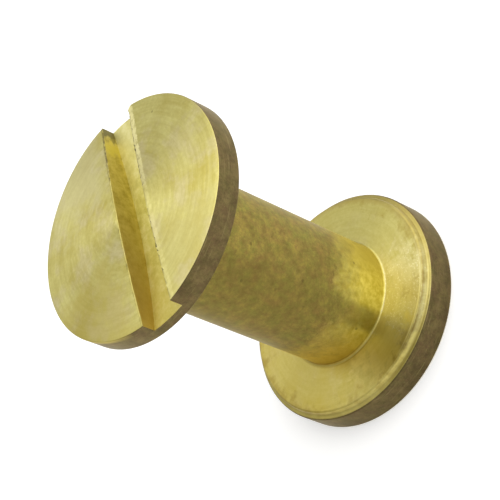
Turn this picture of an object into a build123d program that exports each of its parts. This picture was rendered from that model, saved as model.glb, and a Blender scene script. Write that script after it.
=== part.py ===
from build123d import *
from math import radians, tan
import os

# Chicago screw in solid brass: a barrel post with a flat head, and a slotted screw that closes it.
# Millimetres. The post stands on its own head: Z = 0 is the outer face of that head, Z runs up the
# common axis to the slotted head, and the driver slot runs along X.

# Heads
head_diameter = 9.3            # both heads are turned from the same bar
post_head_rim = 1.15           # the post's head at its rim
rim_rounding = 0.10            # where that rim meets the ledge inside it
screw_head_rim = 0.96          # the slotted head at its rim, below the dome
dome_height = 0.18             # how far the middle of the slotted face stands above its rim
edge_rounding = 0.04           # the other turned edges, just broken

# Step round the post head's inner face, where the facing tool stopped short of the rim
ledge_width = 0.15             # flat ledge inside the rim
shoulder_width = 0.14          # slope from the ledge up to the inner face
face_rise = 0.25               # how far the inner face stands above the ledge
face_edge_rounding = 0.04      # along the top of the slope

# Barrel
barrel_diameter = 5.0
grip_length = 9.79             # clear distance between the two heads when closed
foot_fillet = 0.15             # where the barrel meets its head
mouth_edge = 0.15              # chamfer on the outside of the barrel's open end

# Thread, drawn as plain cylinders at its outer diameter
thread_diameter = 4.0          # M4 coarse
thread_clearance = 0.05        # radial, between the screw's crests and the post's thread
bore_depth = 8.4               # full-diameter depth from the barrel's open end
drill_point_angle = 118.0      # the bore ends in the drill's own cone
mouth_countersink = 0.15       # widening that lets the thread start

# Shank of the screw
shank_length = 6.5             # below the head
tip_chamfer = 0.40
neck_diameter = 3.3            # relief between the last thread and the head
neck_length = 0.7
root_fillet = 0.35             # where the neck meets the head

# Driver slot, cut by a disc saw that was plunged across the head
slot_width = 1.45
slot_depth = 1.04              # from the top of the dome, in the middle of the slot's length
slot_offset = 0.31             # the saw passed this far beside the axis
saw_radius = 34.0              # gives the slot floor its hollow

# Worked out from the sizes above
head_radius = head_diameter / 2
barrel_radius = barrel_diameter / 2
thread_radius = thread_diameter / 2
bore_radius = thread_radius + thread_clearance
face_radius = head_radius - ledge_width - shoulder_width
face_height = post_head_rim + face_rise
mouth_height = face_height + grip_length
screw_rim_height = mouth_height + screw_head_rim
crown_height = screw_rim_height + dome_height


def circles_at(shape, radius, height):
    """The circular edges of a turned shape that have this radius and lie at this height."""
    tolerance = 1e-4
    return [
        edge
        for edge in shape.edges().filter_by(GeomType.CIRCLE)
        if abs(edge.radius - radius) < tolerance and abs(edge.center().Z - height) < tolerance
    ]


def disc(radius, bottom, height):
    """A turned cylinder on the common axis."""
    return Pos(0, 0, bottom) * Cylinder(radius, height, align=(Align.CENTER, Align.CENTER, Align.MIN))


def turned(*corners):
    """A solid turned about the common axis from the straight sides of its half section."""
    section = make_face(Polyline(*corners, close=True))
    return revolve(Plane.XZ * section, Axis.Z)


def blind_bore():
    """The tapped hole, from above the barrel's open end down to the drill's cone."""
    full_depth = mouth_height - bore_depth
    point_height = bore_radius / tan(radians(drill_point_angle / 2))
    hole = disc(bore_radius, full_depth, bore_depth)
    point = Pos(0, 0, full_depth) * Cone(
        0, bore_radius, point_height, align=(Align.CENTER, Align.CENTER, Align.MAX)
    )
    countersink = Pos(0, 0, mouth_height) * Cone(
        bore_radius, bore_radius + mouth_countersink, mouth_countersink,
        align=(Align.CENTER, Align.CENTER, Align.MAX),
    )
    return hole + point + countersink


def barrel_post():
    """Flat head with a stepped inner face, and tapped barrel, turned from one bar."""
    post = turned(
        (0, 0),
        (head_radius, 0),
        (head_radius, post_head_rim),
        (head_radius - ledge_width, post_head_rim),
        (face_radius, face_height),
        (barrel_radius, face_height),
        (barrel_radius, mouth_height),
        (0, mouth_height),
    )
    post = fillet(circles_at(post, barrel_radius, face_height), foot_fillet)
    post = fillet(circles_at(post, face_radius, face_height), face_edge_rounding)
    post = fillet(circles_at(post, head_radius, post_head_rim), rim_rounding)
    post = fillet(circles_at(post, head_radius, 0), edge_rounding)
    post = chamfer(circles_at(post, barrel_radius, mouth_height), mouth_edge)
    return post - blind_bore()


def domed_head():
    """Shallow dome on a straight rim."""
    dome_radius = (head_radius**2 + dome_height**2) / (2 * dome_height)
    outline = Polyline(
        (0, crown_height),
        (0, mouth_height),
        (head_radius, mouth_height),
        (head_radius, screw_rim_height),
    ) + RadiusArc((head_radius, screw_rim_height), (0, crown_height), -dome_radius)
    head = revolve(Plane.XZ * make_face(outline), Axis.Z)
    head = fillet(circles_at(head, head_radius, screw_rim_height), edge_rounding)
    return fillet(circles_at(head, head_radius, mouth_height), edge_rounding)


def driver_slot():
    """The disc saw at the bottom of its plunge: its edge hollows the floor of the slot."""
    saw_centre = crown_height - slot_depth + saw_radius
    saw = Rot(90, 0, 0) * Cylinder(saw_radius, slot_width)
    return Pos(0, -slot_offset, saw_centre) * saw


def shank():
    """Threaded stem with a chamfered tip and a relief neck under the head."""
    tip = mouth_height - shank_length
    stem = disc(thread_radius, tip, shank_length - neck_length)
    stem = chamfer(circles_at(stem, thread_radius, tip), tip_chamfer)
    return stem + disc(neck_diameter / 2, mouth_height - neck_length, neck_length)


def slotted_screw():
    """Domed slotted head and threaded shank, turned from one bar."""
    screw = domed_head() + shank()
    screw = fillet(circles_at(screw, neck_diameter / 2, mouth_height), root_fillet)
    return screw - driver_slot()


os.makedirs("parts", exist_ok=True)
export_step(barrel_post(), "parts/barrel_post.step")
export_step(slotted_screw(), "parts/slotted_screw.step")
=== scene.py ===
from math import atan2, ceil, cos, hypot, pi, radians, sin, tan, tau

import bmesh
import bpy
from mathutils import Matrix, Vector, noise


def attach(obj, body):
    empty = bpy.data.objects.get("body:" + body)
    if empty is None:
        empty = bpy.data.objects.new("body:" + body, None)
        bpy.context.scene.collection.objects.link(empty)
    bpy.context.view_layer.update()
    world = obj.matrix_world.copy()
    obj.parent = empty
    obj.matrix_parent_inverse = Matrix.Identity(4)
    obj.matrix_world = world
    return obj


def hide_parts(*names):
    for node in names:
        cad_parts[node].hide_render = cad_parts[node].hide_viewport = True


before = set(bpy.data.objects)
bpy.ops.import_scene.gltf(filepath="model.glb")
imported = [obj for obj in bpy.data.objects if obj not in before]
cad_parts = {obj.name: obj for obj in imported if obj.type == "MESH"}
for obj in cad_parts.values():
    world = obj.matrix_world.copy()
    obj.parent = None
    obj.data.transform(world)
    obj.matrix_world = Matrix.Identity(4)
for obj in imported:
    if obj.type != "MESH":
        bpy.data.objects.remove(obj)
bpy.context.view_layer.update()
scene = bpy.context.scene
scene.view_settings.view_transform = "Standard"


# Camera
# It looks down on the fastener from the -X -Y side and is rolled, so the upright fastener lies
# across the picture with its slotted head at the upper left.
def polar(azimuth, elevation, distance):
    """A point by its direction from the origin, in degrees, and its distance in metres."""
    az, el = radians(azimuth), radians(elevation)
    return Vector((cos(el) * cos(az), cos(el) * sin(az), sin(el))) * distance


look_at = Vector((0.00049, -0.00035, 0.00637))
towards_camera = polar(azimuth=-141.36, elevation=38.66, distance=0.06225)
roll = Matrix.Rotation(radians(-66.71), 3, "Z")
camera = bpy.data.objects.new("camera", bpy.data.cameras.new("camera"))
camera.location = look_at + towards_camera
camera.rotation_euler = (towards_camera.to_track_quat("Z", "Y").to_matrix() @ roll).to_euler()
camera.data.lens = 119.23
camera.data.sensor_width = 36
camera.data.clip_start = 0.005
camera.data.clip_end = 5
scene.collection.objects.link(camera)
scene.camera = camera


# Floor, world and lamps
# A white floor in a pale studio. One softbox stands over the side that both heads mirror towards
# the camera, and a wide one stands low on the right, where the slot and the barrel's foot find it.
def linear(hex_colour):
    """A colour written as sRGB hex, as the linear RGBA that shaders use."""
    channels = [int(hex_colour[i:i + 2], 16) / 255 for i in (0, 2, 4)]
    return (*((c / 12.92 if c <= 0.04045 else ((c + 0.055) / 1.055) ** 2.4) for c in channels), 1)


def add(tree, kind, inputs=None, stops=(), **settings):
    """Adds a shader node and gives its outputs. Each input is a value, or the output that feeds it.

    stops are the (position, hex colour) stops of a colour ramp.
    """
    node = tree.nodes.new("ShaderNode" + kind)
    for name, value in settings.items():
        setattr(node, name, value)
    for name, value in (inputs or {}).items():
        if isinstance(value, bpy.types.NodeSocket):
            tree.links.new(value, node.inputs[name])
        else:
            node.inputs[name].default_value = value
    for i, (position, colour) in enumerate(stops):
        elements = node.color_ramp.elements
        element = elements[i] if i < len(elements) else elements.new(position)
        element.position = position
        element.color = linear(colour)
    return node.outputs


def new_material(name, surface, **details):
    """A material of this name. surface(tree, ...) adds its nodes and gives its shader."""
    made = bpy.data.materials.new(name)
    made.use_nodes = True
    tree = made.node_tree
    tree.nodes.clear()
    output = tree.nodes.new("ShaderNodeOutputMaterial")
    tree.links.new(surface(tree, **details), output.inputs["Surface"])
    return made


def white_paper(tree, lift):
    """Matte white. The lift takes it to full white for the camera and in reflections, but not in shade."""
    path = add(tree, "LightPath")
    seen = path["Is Camera Ray"]
    for ray in ("Is Glossy Ray", "Is Transmission Ray"):
        seen = add(tree, "Math", {0: seen, 1: path[ray]}, operation="ADD")[0]
    strength = add(tree, "Math", {0: seen, 1: lift}, operation="MULTIPLY")[0]
    matte = add(tree, "BsdfDiffuse", {"Color": linear("EEEEEE")})[0]
    glow = add(tree, "Emission", {"Strength": strength})[0]
    return add(tree, "AddShader", {0: matte, 1: glow})[0]


floor_mesh = bmesh.new()
bmesh.ops.create_circle(floor_mesh, cap_ends=True, radius=1.2, segments=64)
floor = bpy.data.objects.new("floor", bpy.data.meshes.new("floor"))
floor_mesh.to_mesh(floor.data)
floor_mesh.free()
floor.location.z = -0.00002
floor.data.materials.append(new_material("white paper", white_paper, lift=0.32))
scene.collection.objects.link(floor)

world = bpy.data.worlds.new("studio")
scene.world = world
world.use_nodes = True
world.node_tree.nodes["Background"].inputs["Color"].default_value = (1, 1, 1, 1)
world.node_tree.nodes["Background"].inputs["Strength"].default_value = 0.62


def softbox(name, azimuth, elevation, distance, size, radiance):
    """A square area lamp aimed at the fastener. Its radiance is how bright it looks in a mirror."""
    lamp = bpy.data.lights.new(name, "AREA")
    lamp.size = size
    lamp.energy = radiance * pi * size * size
    made = bpy.data.objects.new(name, lamp)
    made.location = look_at + polar(azimuth, elevation, distance)
    made.rotation_euler = polar(azimuth, elevation, 1).to_track_quat("Z", "Y").to_euler()
    scene.collection.objects.link(made)


softbox("key softbox", azimuth=38, elevation=66, distance=0.32, size=0.26, radiance=1.05)
softbox("side softbox", azimuth=298, elevation=36, distance=0.32, size=0.70, radiance=1.15)


# Barrel post
# Flat head and tapped barrel, turned from one brass bar. Its face is bright. The rim and the barrel
# have dulled to a mottled brown, but for the barrel's last stretch above its foot. Sizes are in mm.
head_radius = 4.65
post_rim = 1.15
face_high = 1.40
barrel_radius = 2.5
mouth = 11.19
bore_bottom = mouth - 8.4
tap_drill_radius = 1.66
pitch = 0.7
turned_steps = 192
thread_steps = 96
weld = 1e-4


def rounded(*corners, segments=6):
    """An outline of (radius, height, rounding) corners. A corner with a rounding becomes an arc."""
    outline = []
    for i, (radius, height, rounding) in enumerate(corners):
        corner = Vector((radius, height))
        if not rounding:
            outline.append(corner)
            continue
        back = (Vector(corners[i - 1][:2]) - corner).normalized()
        on = (Vector(corners[i + 1][:2]) - corner).normalized()
        half = back.angle(on) / 2
        centre = corner + (back + on).normalized() * rounding / sin(half)
        first = corner + back * rounding / tan(half) - centre
        last = corner + on * rounding / tan(half) - centre
        sweep = atan2(first.x * last.y - first.y * last.x, first.dot(last))
        for k in range(segments + 1):
            spoke = first.copy()
            spoke.rotate(Matrix.Rotation(sweep * k / segments, 2))
            outline.append(centre + spoke)
    return outline


def spin_outline(bm, outline, steps, rise=0.0):
    """Spins an outline once about Z, climbing by rise, and welds where it meets itself."""
    verts = [bm.verts.new((radius, 0, height)) for radius, height in outline]
    edges = [bm.edges.new(pair) for pair in zip(verts, verts[1:])]
    bmesh.ops.spin(bm, geom=verts + edges, axis=(0, 0, 1), cent=(0, 0, 0), dvec=(0, 0, rise / steps),
                   angle=tau, steps=steps, use_merge=False)
    bmesh.ops.remove_doubles(bm, verts=bm.verts, dist=weld)


def thread(bm, low, high, profile, limit):
    """A right-handed helical thread between two heights. Its turns are counted from the barrel's mouth.

    profile is one pitch as (radius, height) points, and limit(radius, height) trims the thread's ends.
    """
    turns = ceil((mouth - low) / pitch) + 2
    outline = [(radius, mouth + (k - turns) * pitch + height)
               for k in range(turns + 3) for radius, height in profile]
    spin_outline(bm, outline, thread_steps, rise=pitch)
    for height, side in ((low, -1), (high, 1)):
        bmesh.ops.bisect_plane(bm, geom=bm.verts[:] + bm.edges[:] + bm.faces[:], dist=1e-5,
                               plane_co=(0, 0, height), plane_no=(0, 0, side), clear_outer=True)
    for vert in bm.verts:
        radius = hypot(vert.co.x, vert.co.y)
        vert.co.xy *= limit(radius, vert.co.z) / radius
    bmesh.ops.remove_doubles(bm, verts=bm.verts, dist=weld)


def close_and_join(bm, closed_height, point=0.0):
    """Caps the open rim at one height, with a cone if it has a point, and bridges the two rims left."""
    rim = [e for e in bm.edges
           if e.is_boundary and all(abs(v.co.z - closed_height) < 0.01 for v in e.verts)]
    cap = bmesh.ops.contextual_create(bm, geom=rim)["faces"]
    if point:
        bmesh.ops.poke(bm, faces=cap)["verts"][0].co.z -= point
    bmesh.ops.bridge_loops(bm, edges=[e for e in bm.edges if e.is_boundary])


def face_outwards(bm):
    """Points a closed shell's faces outwards."""
    bmesh.ops.recalc_face_normals(bm, faces=bm.faces)
    if bm.calc_volume(signed=True) < 0:
        bmesh.ops.reverse_faces(bm, faces=bm.faces)


def finished(name, bm, materials, choose):
    """Turns a millimetre bmesh into an object in metres.

    choose(centre, normal) picks the place in materials that a face takes its material from.
    """
    bmesh.ops.dissolve_degenerate(bm, dist=weld, edges=bm.edges)
    face_outwards(bm)
    for face in bm.faces:
        face.smooth = True
        face.material_index = choose(face.calc_center_median(), face.normal)
    bmesh.ops.scale(bm, vec=(0.001,) * 3, verts=bm.verts)
    mesh = bpy.data.meshes.new(name)
    bm.to_mesh(mesh)
    bm.free()
    mesh.set_sharp_from_angle(angle=radians(35))
    for material in materials:
        mesh.materials.append(material)
    made = bpy.data.objects.new(name, mesh)
    scene.collection.objects.link(made)
    even = made.modifiers.new("even shading on flat faces", "WEIGHTED_NORMAL")
    even.keep_sharp = True
    made.data = bpy.data.meshes.new_from_object(made.evaluated_get(bpy.context.evaluated_depsgraph_get()))
    made.modifiers.clear()
    return made


def millimetres(tree, stretch=(1, 1, 1)):
    """The piece's own coordinates in millimetres, times a stretch along each axis."""
    own = add(tree, "TexCoord")["Object"]
    factors = tuple(1000.0 * s for s in stretch)
    return add(tree, "VectorMath", {0: own, 1: factors}, operation="MULTIPLY")[0]


def places(tree):
    """X, Y and height in millimetres, the distance from the axis, and the degrees round it.

    The degrees are counted from -X towards -Y.
    """
    where = millimetres(tree)
    x, y, height = add(tree, "SeparateXYZ", {0: where})
    level = add(tree, "VectorMath", {0: where, 1: (1, 1, 0)}, operation="MULTIPLY")[0]
    radius = add(tree, "VectorMath", {0: level}, operation="LENGTH")["Value"]
    turned = add(tree, "VectorMath", {0: where, 1: (-1, -1, 0)}, operation="MULTIPLY")[0]
    back_x, back_y, _ = add(tree, "SeparateXYZ", {0: turned})
    angle = add(tree, "Math", {0: back_y, 1: back_x}, operation="ARCTAN2")[0]
    degrees = add(tree, "Math", {0: angle}, operation="DEGREES")[0]
    return {"x": x, "y": y, "height": height, "radius": radius, "degrees": degrees}


def mottle(tree, per_mm, detail=3.0, roughness=0.6, stretch=(1, 1, 1)):
    """Noise fixed to the piece, with about per_mm patches to the millimetre."""
    return add(tree, "TexNoise", {"Vector": millimetres(tree, stretch), "Scale": per_mm, "Detail": detail,
                                  "Roughness": roughness})[0]


def rings(tree, per_mm, round_about):
    """Noise drawn out along circles about the axis, with per_mm rings to the millimetre.

    round_about says how often a ring is broken on its way round.
    """
    at = places(tree)
    radius = add(tree, "Math", {0: at["radius"], 1: 0.05}, operation="MAXIMUM")[0]
    spoke = add(tree, "CombineXYZ", {
        "X": add(tree, "Math", {0: at["x"], 1: radius}, operation="DIVIDE")[0],
        "Y": add(tree, "Math", {0: at["y"], 1: radius}, operation="DIVIDE")[0],
        "Z": at["radius"]})[0]
    spoke = add(tree, "VectorMath", {0: spoke, 1: (round_about, round_about, per_mm)},
                operation="MULTIPLY")[0]
    return add(tree, "TexNoise", {"Vector": spoke, "Scale": 1.0, "Detail": 2.0, "Roughness": 0.6})[0]


def mask(tree, *spots, strength=1.0):
    """How far a point lies in all of these spots at once, from 0 to the strength.

    A spot is a mask, or (value, start, end): none of it at start, all of it at end. Where its least
    and its most aren't 0 and 1, they follow.
    """
    whole = strength
    for spot in spots:
        if isinstance(spot, tuple):
            value, start, end, *levels = spot
            least, most = levels or (0.0, 1.0)
            spot = add(tree, "MapRange", {"Value": value, "From Min": start, "From Max": end,
                                          "To Min": least, "To Max": most})[0]
        whole = add(tree, "Math", {0: spot, 1: whole}, operation="MULTIPLY")[0]
    return whole


def within(value, low, high, soft):
    """The two spots that leave a band from low to high and fade out over soft on both sides."""
    return (value, low - soft, low), (value, high + soft, high)


def wandering(tree, value, patches, by):
    """A value that wanders by up to this much, so that an edge drawn at it is ragged."""
    shift = mask(tree, (patches, 0.3, 0.7, -by, by))
    return add(tree, "Math", {0: value, 1: shift}, operation="ADD")[0]


def stained_or_painted_light(tree, colour, overlay, strength, *spots):
    """The colour with another colour laid over it in all of these spots at once. It lays stains, and painted
    light and shade as well.
    """
    over = linear(overlay) if isinstance(overlay, str) else overlay
    return add(tree, "Mix", {0: mask(tree, *spots, strength=strength), 6: colour, 7: over},
               data_type="RGBA")[2]


def pits(tree, size, share, cells=1.25):
    """A mask of small round pits, size mm across, in a share of the cells. cells is how many to the mm."""
    cell = add(tree, "TexVoronoi", {"Vector": millimetres(tree), "Scale": cells})
    chance = add(tree, "SeparateColor", {0: cell["Color"]})["Red"]
    chosen = add(tree, "Math", {0: chance, 1: share}, operation="LESS_THAN")[0]
    return mask(tree, (cell["Distance"], 0.8 * size * cells, 0.4 * size * cells), chosen)


def turned_brass(tree, pale, ringed, marks):
    """Bright brass as the lathe left it: khaki with pale stains, a fine grain and the tool's rings.

    Its shine is drawn out across the rings. Real rings lie a few hundredths of a millimetre apart.
    They and the grain are drawn about 0.14 mm apart, as coarse as they need to be to show. pale and
    ringed say how strong the stains and the rings are, and marks adds the piece's own stains and painted
    light.
    """
    hue = mottle(tree, 0.55, detail=5.0)
    blush = mottle(tree, 0.95, detail=4.0)
    grain = mottle(tree, 7.0, roughness=0.7)
    fine = rings(tree, per_mm=7.0, round_about=2.2)
    colour = add(tree, "ValToRGB", {0: hue}, stops=((0.36, "C2B45E"), (0.5, "CCC275"), (0.64, "D3CB80")))[0]
    colour = stained_or_painted_light(tree, colour, "D2C698", pale, (blush, 0.50, 0.64))
    colour = stained_or_painted_light(tree, colour, "A89B45", 0.24, (grain, 0.38, 0.62))
    colour = stained_or_painted_light(tree, colour, "AD9E4B", 0.30 * ringed, (fine, 0.48, 0.62))
    colour = stained_or_painted_light(tree, colour, "E0D898", 0.24 * ringed, (fine, 0.46, 0.34))
    colour = stained_or_painted_light(tree, colour, "6E5A28", 0.5, pits(tree, size=0.08, share=0.12))
    colour = marks(tree, colour)
    return add(tree, "BsdfPrincipled", {
        "Base Color": colour, "Metallic": 1.0, "Roughness": mask(tree, (hue, 0.3, 0.7, 0.36, 0.44)),
        "Anisotropic": 0.6, "Anisotropic Rotation": 0.25,
        "Tangent": add(tree, "Tangent", direction_type="RADIAL")[0],
        "Normal": add(tree, "Bump", {"Height": fine, "Strength": 0.25, "Distance": 0.00002})[0]})[0]


def tarnished_brass(tree, brown, olive, light, dark, marks):
    """Brass that air and handling have dulled to a fine mottle of brown and olive, with a soft shine."""
    hue = mottle(tree, 1.5, detail=8.0, roughness=0.85)
    tone = mottle(tree, 2.8, detail=8.0, roughness=0.85)
    cloud = mottle(tree, 0.6)
    colour = add(tree, "ValToRGB", {0: hue}, stops=((0.38, brown), (0.62, olive)))[0]
    colour = stained_or_painted_light(tree, colour, light, 0.80, (tone, 0.50, 0.68))
    colour = stained_or_painted_light(tree, colour, dark, 0.78, (tone, 0.50, 0.32))
    colour = stained_or_painted_light(tree, colour, dark, 0.30, (cloud, 0.48, 0.34))
    colour = marks(tree, colour)
    colour = stained_or_painted_light(tree, colour, "4C4024", 0.45, pits(tree, size=0.10, share=0.26, cells=2.2))
    return add(tree, "BsdfPrincipled", {
        "Base Color": colour, "Metallic": 1.0, "Roughness": 0.44, "Specular Tint": linear("FAF3DE")})[0]


def cut_thread_brass(tree):
    """The hidden threads, as the die and the tap cut them: clean yellow brass, brighter than the rest."""
    torn = mottle(tree, 3.0)
    colour = add(tree, "ValToRGB", {0: torn}, stops=((0.35, "B8A449"), (0.65, "CEC06C")))[0]
    return add(tree, "BsdfPrincipled", {"Base Color": colour, "Metallic": 1.0, "Roughness": 0.32})[0]


def barrel_stains_and_painted_shade(tree, colour):
    """A painted dark reflection lies along one side. Above its head the barrel stayed clean, but for a strip
    of painted dark reflection, and painted shade dims the corner at its foot on one side.
    """
    at = places(tree)
    height, degrees = at["height"], at["degrees"]
    patchy = mottle(tree, 1.6, detail=6.0, roughness=0.75)
    # Painted dark reflection along one side of the upper barrel.
    colour = stained_or_painted_light(tree, colour, "5A4A22", 0.32, *within(degrees, -60, 40, soft=16), (height, 2.8, 5.5))
    clean = add(tree, "ValToRGB", {0: mottle(tree, 4.0, detail=4.0)},
                stops=((0.38, "C7B64E"), (0.62, "E0D26E")))[0]
    clean = stained_or_painted_light(tree, clean, "C2B35E", 0.75, (degrees, 68, 95))
    clean = stained_or_painted_light(tree, clean, "E2C25C", 0.65, (degrees, 30, 0))
    clean_up_to = mask(tree, (degrees, 32, 56, 2.9, 3.5))
    above = add(tree, "Math", {0: wandering(tree, height, patchy, by=0.55), 1: clean_up_to},
                operation="SUBTRACT")[0]
    # The clean stretch is left dark in one narrow strip: a painted dark reflection.
    painted_dark_strip = mask(tree, *within(degrees, 30, 43, soft=6))
    colour = stained_or_painted_light(tree, colour, clean, 1.0, (above, 0.9, -0.9), (painted_dark_strip, 0, 1, 1.0, 0.34))
    # Painted shade dims the corner at the foot on one side.
    return stained_or_painted_light(tree, colour, "8A7230", 0.40, (height, 1.55, 1.48), (degrees, 40, 10))


def face_stains_and_painted_light(tree, colour):
    """Yellower to one side of the post's inner face and browner at its rim, with a painted pale highlight, a
    painted glint, and painted highlights and shade in the step.
    """
    at = places(tree)
    radius, degrees = at["radius"], at["degrees"]
    patchy = mottle(tree, 1.8, detail=4.0)
    one_side = wandering(tree, degrees, patchy, by=20)
    colour = stained_or_painted_light(tree, colour, "BDA84E", 0.55, (one_side, 30, -30))
    # Painted pale highlight to one side, with painted sparkling glints.
    painted_pale_highlight = within(one_side, 52, 82, soft=16)
    painted_sparkle = mottle(tree, 13.0, detail=2.0)
    colour = stained_or_painted_light(tree, colour, "DDD4A2", 0.4, *painted_pale_highlight)
    colour = stained_or_painted_light(tree, colour, "F4EFC8", 0.5, *painted_pale_highlight, (painted_sparkle, 0.56, 0.68))
    colour = stained_or_painted_light(tree, colour, "B0A45A", 0.38, (one_side, 70, 100))
    # A painted yellow glint in a fan to one side.
    colour = stained_or_painted_light(tree, colour, "E2D27E", 0.5, *within(one_side, 12, 32, soft=14))
    colour = stained_or_painted_light(tree, colour, "9C8438", 0.55, (wandering(tree, radius, patchy, by=1.0), 4.1, 4.9))
    # Painted highlights on the lips of the step on one side, with painted dark shade on the slope between
    # them, and the step duller where that side ends.
    lit = mask(tree, (patchy, 0.35, 0.55, 0.5, 1.0), *within(degrees, 42, 74, soft=18))
    colour = stained_or_painted_light(tree, colour, "F8F0B4", 0.8, lit, *within(radius, 4.26, 4.31, soft=0.03))
    colour = stained_or_painted_light(tree, colour, "7A6830", 1.0, (lit, 0, 1, 0.15, 0.8),
                     *within(radius, 4.38, 4.42, soft=0.03))
    colour = stained_or_painted_light(tree, colour, "A69A58", 0.6, (radius, 4.43, 4.48))
    colour = stained_or_painted_light(tree, colour, "D8CC84", 0.4, lit, *within(radius, 4.48, 4.51, soft=0.02))
    colour = stained_or_painted_light(tree, colour, "AE9C56", 0.55, (degrees, 70, 95), (radius, 4.15, 4.30))
    # Painted shade in the corner at the barrel's foot on one side, and a few pits.
    colour = stained_or_painted_light(tree, colour, "8A7230", 0.40, *within(radius, 2.4, 2.6, soft=0.06), (degrees, 40, 10))
    return stained_or_painted_light(tree, colour, "6E5A28", 0.5, pits(tree, size=0.14, share=0.12, cells=1.0))


def rim_lines(tree, colour):
    """Paler patches on the rims, a few light tool lines, and one stretch worn bright near the slot.

    The lines are drawn about 0.07 mm apart, coarser than the tool's, so that they show.
    """
    at = places(tree)
    patches = mottle(tree, 1.3, detail=7.0, roughness=0.8)
    lines = mottle(tree, 1.0, detail=2.0, stretch=(0.7, 0.7, 14.0))
    colour = stained_or_painted_light(tree, colour, "82734A", 0.42, (patches, 0.50, 0.64))
    colour = stained_or_painted_light(tree, colour, "94865A", 0.45, (lines, 0.60, 0.72))
    return stained_or_painted_light(tree, colour, "B2A24E", 0.9, (at["height"], mouth + 0.70, mouth + 0.90),
                   *within(at["degrees"], -50, -26, soft=14))


post_face_brass = new_material("turned brass", turned_brass, pale=0.35, ringed=0.65, marks=face_stains_and_painted_light)
barrel_brass = new_material("tarnished brass", tarnished_brass, brown="8B733F", olive="827D3B",
                            light="A99845", dark="63532A", marks=barrel_stains_and_painted_shade)
rim_brass = new_material("handled brass", tarnished_brass, brown="67543A", olive="605834",
                         light="7A6A42", dark="4A3E28", marks=rim_lines)
thread_brass = new_material("cut thread brass", cut_thread_brass)

# Where each finish stands in the post's list. The screw's list has its face, rim and thread there too.
on_face, on_barrel, on_rim, on_thread = range(4)


def bore_limit(radius, height):
    """Opens the tapped hole to its countersink, and holds it to the tap drill at the bottom."""
    if height < bore_bottom + 1.0:
        radius = min(radius, tap_drill_radius)
    return max(radius, barrel_radius - 0.30 - (mouth - height))


post = bmesh.new()
thread(post, bore_bottom, mouth,
       ((tap_drill_radius, 0.08), (2.04, 0.30), (2.04, 0.40), (tap_drill_radius, 0.62)), bore_limit)
spin_outline(post, rounded(
    (0, 0, 0),
    (head_radius, 0, 0.04),
    (head_radius, post_rim, 0.10),
    # Two fine lips in the step up to the inner face, where the facing tool stopped
    (head_radius - 0.11, post_rim + 0.01, 0),
    (head_radius - 0.18, post_rim + 0.04, 0.02),
    (head_radius - 0.23, face_high - 0.03, 0.02),
    (head_radius - 0.30, face_high, 0.04),
    # Foot, and the open end with its broken edge and its countersink
    (barrel_radius, face_high, 0.10),
    (barrel_radius, mouth - 0.15, 0),
    (barrel_radius - 0.15, mouth, 0),
    (barrel_radius - 0.25, mouth, 0),
    segments=8,
), turned_steps)
close_and_join(post, bore_bottom, point=1.0)


def post_finish(centre, normal):
    """Threaded inside, tarnished round the rim and the barrel, and bright on every flat."""
    radius = hypot(centre.x, centre.y)
    upper = centre.z > 0.5
    if upper and radius < barrel_radius - 0.25:
        return on_thread
    if upper and radius > head_radius - 0.14:
        return on_face if normal.z > 0.78 else on_rim
    if radius > barrel_radius + 0.5:
        return on_face if upper or abs(normal.z) > 0.3 else on_rim
    return on_face if abs(normal.z) > 0.75 else on_barrel


barrel_post = finished("barrel_post_turned", post,
                       (post_face_brass, barrel_brass, rim_brass, thread_brass), post_finish)
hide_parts("barrel_post")
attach(barrel_post, "post")


# Slotted screw
# Shallow domed head and threaded shank, turned from one bar, with a driver slot that a disc saw cut a
# little beside the axis. The saw left a burr along one edge of the slot.
screw_rim_high = 12.15
crown = 12.33
tip = mouth - 6.5
neck_radius = 1.65
slot_side = 0.725
slot_middle = -0.31
saw_radius = 34.0
slot_depth = 1.04


def dome(radius):
    """Height of the domed face."""
    sphere = (head_radius**2 + (crown - screw_rim_high)**2) / (2 * (crown - screw_rim_high))
    return crown - sphere + (sphere**2 - radius**2)**0.5


def shank_limit(radius, height):
    """Chamfers the first thread at the tip and runs the last one out at the neck."""
    runout = min(max((height - (mouth - 1.0)) / 0.3, 0), 1)
    radius += (neck_radius - radius) * runout
    return min(radius, 1.6 + height - tip)


screw = bmesh.new()
thread(screw, tip, mouth - 0.70, ((1.58, 0.09), (1.96, 0.305), (1.96, 0.395), (1.58, 0.61)), shank_limit)
dome_radii = [head_radius * k / 24 for k in range(1, 24)]
spin_outline(screw, [(0, crown)] + [(r, dome(r)) for r in dome_radii] + rounded(
    (dome_radii[-1], dome(dome_radii[-1]), 0),
    (head_radius, screw_rim_high, 0.04),
    (head_radius, mouth, 0.04),
    (neck_radius, mouth, 0.35),
    (neck_radius, mouth - 0.69, 0),
)[1:], turned_steps)
close_and_join(screw, tip)

saw = bmesh.new()
bmesh.ops.create_cone(
    saw, cap_ends=True, segments=720, radius1=saw_radius, radius2=saw_radius, depth=2 * slot_side,
    matrix=Matrix.Translation((0, slot_middle, crown - slot_depth + saw_radius))
    @ Matrix.Rotation(pi / 2, 4, "X"))


def cut(bm, tool):
    """bm with the tool's solid taken out of it."""
    objects = []
    for name, source in (("blank", bm), ("tool", tool)):
        mesh = bpy.data.meshes.new(name)
        face_outwards(source)
        source.to_mesh(mesh)
        source.free()
        objects.append(bpy.data.objects.new(name, mesh))
        scene.collection.objects.link(objects[-1])
    boolean = objects[0].modifiers.new("cut", "BOOLEAN")
    boolean.object = objects[1]
    boolean.solver = "EXACT"
    result = bmesh.new()
    result.from_object(objects[0], bpy.context.evaluated_depsgraph_get())
    for made in objects:
        bpy.data.objects.remove(made)
    bmesh.ops.remove_doubles(result, verts=result.verts, dist=weld)
    return result


screw = cut(screw, saw)

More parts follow.
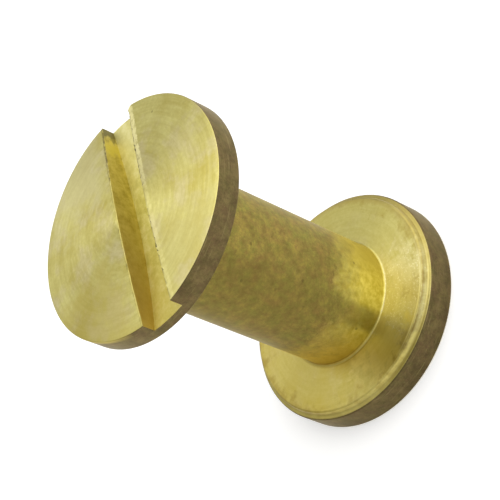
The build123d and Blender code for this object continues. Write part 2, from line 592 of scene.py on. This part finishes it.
# One land's corner beside the slot is knocked round, from the face down to the slot's floor.
knock = 0.22
knock_depth = 0.55
past_rim = 5.5
corner_y = slot_middle - slot_side - knock
corner_x = ((head_radius - knock)**2 - corner_y**2)**0.5
rimward = atan2(corner_y, corner_x)
angles = [pi / 2 + (rimward - pi / 2) * k / 8 for k in range(9)]
plan = [(corner_x + knock * cos(a), corner_y + knock * sin(a)) for a in angles]
plan += [(past_rim * cos(rimward), past_rim * sin(rimward)), (past_rim, slot_middle), (corner_x, slot_middle)]
waste = bmesh.new()
base = waste.faces.new([waste.verts.new((x, y, screw_rim_high - knock_depth)) for x, y in plan])
upper = bmesh.ops.extrude_face_region(waste, geom=[base])["geom"]
bmesh.ops.translate(waste, vec=(0, 0, 1.5), verts=[v for v in upper if isinstance(v, bmesh.types.BMVert)])
screw = cut(screw, waste)
screw.normal_update()


def edges_between(bm, one, other):
    """The edges where a face that satisfies one test meets a face that satisfies the other."""
    return [e for e in bm.edges if len(e.link_faces) == 2 and (
        (one(e.link_faces[0]) and other(e.link_faces[1]))
        or (one(e.link_faces[1]) and other(e.link_faces[0])))]


def is_dome(face):
    return face.normal.z > 0.9 and face.calc_center_median().z > screw_rim_high - 0.02


def is_wall(face):
    beside = abs(face.calc_center_median().y - slot_middle) - slot_side
    return abs(face.normal.y) > 0.99 and abs(beside) < 0.001


# The slot's long edges are rounded, one more than the other, and ragged where the saw tore them.
tear, tears_per_mm = 0.012, 5.0
long_edges = [e for e in edges_between(screw, is_dome, is_wall) if e.calc_length() > 0.12]
bmesh.ops.subdivide_edges(screw, edges=long_edges, cuts=2)
mouth_edges = edges_between(screw, is_dome, is_wall)
for width, side in ((0.06, -1), (0.03, 1)):
    chosen = [e for e in mouth_edges if e.is_valid and (e.verts[0].co.y - slot_middle) * side > 0]
    bmesh.ops.bevel(screw, geom=chosen, offset=width, offset_type="OFFSET", segments=3, profile=0.5,
                    affect="EDGES", material=-1)
for vert in screw.verts:
    beside = abs(vert.co.y - slot_middle) - slot_side
    if vert.co.z > screw_rim_high - 0.1 and -0.001 < beside < 0.07 and hypot(*vert.co.xy) < 4.5:
        vert.co.y += tear * noise.noise(vert.co * tears_per_mm)


def slotted_face_stains_and_painted_light(tree, colour):
    """Stains and painted sheen on both lands, dirt on the upper end of one slot edge, and a painted glint
    with painted shade beside it along the other edge, which the saw burred.
    """
    at = places(tree)
    x, y = at["x"], at["y"]
    # The lands on both sides of the slot are tinted greyer and yellower along their length, with paler
    # patches of painted sheen.
    cloudy = wandering(tree, x, mottle(tree, 1.2, detail=4.0), by=1.2)
    right, left = (y, -1.1, -1.5), (y, 0.5, 1.2)
    colour = stained_or_painted_light(tree, colour, "AFA25E", 0.22, right, *within(cloudy, -0.2, 1.4, soft=0.8))
    # Painted pale sheen on the right land.
    colour = stained_or_painted_light(tree, colour, "C2B87C", 0.30, right, (cloudy, -0.8, -1.8))
    colour = stained_or_painted_light(tree, colour, "C6B55C", 0.45, left, (cloudy, -0.8, -2.0))
    # Painted pale sheen on the left land.
    colour = stained_or_painted_light(tree, colour, "D6CEA4", 0.40, left, (cloudy, 1.0, 2.5))
    # Along the slot. The painted glint on the burred edge is strongest in its upper half, with a thin painted
    # shade under it.
    torn = mottle(tree, 5.0)
    across = wandering(tree, y, torn, by=0.03)
    dirty_edge, burred_edge = slot_middle + slot_side, slot_middle - slot_side
    dirt = within(across, dirty_edge - 0.02, dirty_edge + 0.05, soft=0.03)
    painted_burr_glint = within(across, burred_edge - 0.22, burred_edge - 0.05, soft=0.05)
    shade = within(across, burred_edge - 0.03, burred_edge + 0.02, soft=0.02)
    colour = stained_or_painted_light(tree, colour, "A4964C", 0.5, *dirt)
    colour = stained_or_painted_light(tree, colour, "5C5230", 1.0, *dirt, *within(x, 2.6, 4.8, soft=0.6),
                     (torn, 0.40, 0.55, 0.2, 0.85))
    colour = stained_or_painted_light(tree, colour, "FAF0AC", 1.0, *painted_burr_glint, (x, 0.0, 2.2, 0.22, 1.0),
                     (torn, 0.36, 0.52, 0.25, 0.95))
    return stained_or_painted_light(tree, colour, "6B6334", 0.7, *shade, *within(x, 1.5, 3.9, soft=0.4))


def sawn_brass(tree, dark, middle, light, marks):
    """The slot as the saw left it: rough, blotchy and dull, with faint lines along the cut.

    The lines are drawn about 0.1 mm apart, coarser than the saw's, so that they show.
    """
    blotches = mottle(tree, 2.6, detail=5.0, roughness=0.7)
    lines = mottle(tree, 1.0, stretch=(0.5, 10.0, 10.0))
    colour = add(tree, "ValToRGB", {0: blotches}, stops=((0.36, dark), (0.5, middle), (0.64, light)))[0]
    colour = stained_or_painted_light(tree, colour, light, 0.18, (lines, 0.50, 0.68))
    colour = stained_or_painted_light(tree, colour, "6E5A28", 0.5, pits(tree, size=0.07, share=0.10))
    colour = marks(tree, colour)
    return add(tree, "BsdfPrincipled", {
        "Base Color": colour, "Metallic": 1.0, "Roughness": 0.6,
        "Normal": add(tree, "Bump", {"Height": lines, "Strength": 0.15, "Distance": 0.00002})[0]})[0]


def wall_marks(tree, colour):
    """The slot's wall is darker grey at one end, yellow next to that, and browner towards the other."""
    x = places(tree)["x"]
    ragged = wandering(tree, x, mottle(tree, 3.0), by=0.25)
    colour = stained_or_painted_light(tree, colour, "B4984C", 0.75, (x, 1.5, -3.5))
    colour = stained_or_painted_light(tree, colour, "D6C75A", 0.8, *within(ragged, 3.5, 3.8, soft=0.3))
    return stained_or_painted_light(tree, colour, "66603A", 0.85, (ragged, 4.0, 4.3))


def floor_marks(tree, colour):
    """The slot's floor is paler towards +X and yellower towards -X."""
    x = places(tree)["x"]
    colour = stained_or_painted_light(tree, colour, "D8D0A0", 0.4, (x, 1.0, 3.5))
    return stained_or_painted_light(tree, colour, "C8B658", 0.45, (x, -0.5, -3.5))


slotted_face_brass = new_material("slotted face brass", turned_brass, pale=0.65, ringed=0.75,
                                  marks=slotted_face_stains_and_painted_light)
slot_floor_brass = new_material("sawn brass", sawn_brass, dark="C4BC68", middle="D2CB7A",
                                light="DED898", marks=floor_marks)
slot_wall_brass = new_material("sawn wall brass", sawn_brass, dark="BAA850", middle="CEBE64",
                               light="DACB72", marks=wall_marks)
on_slot_floor, on_slot_wall = 1, 4


def screw_finish(centre, normal):
    """Bright on the face, as sawn in the slot, tarnished round the rim, and clean on the shank."""
    radius = hypot(centre.x, centre.y)
    if centre.z < mouth - 0.01 and radius < 2.1:
        return on_thread
    in_slot = abs(centre.y - slot_middle) < slot_side + 0.002 and radius < head_radius - 0.02
    if in_slot and mouth < centre.z < dome(min(radius, 4.6)) - 0.03:
        return on_slot_wall if abs(normal.y) > 0.7 else on_slot_floor
    if radius > head_radius - 0.1 and abs(normal.z) < 0.7:
        return on_rim
    return on_face


slotted_screw = finished(
    "slotted_screw_turned", screw,
    (slotted_face_brass, slot_floor_brass, rim_brass, thread_brass, slot_wall_brass), screw_finish)
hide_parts("slotted_screw")
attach(slotted_screw, "screw")
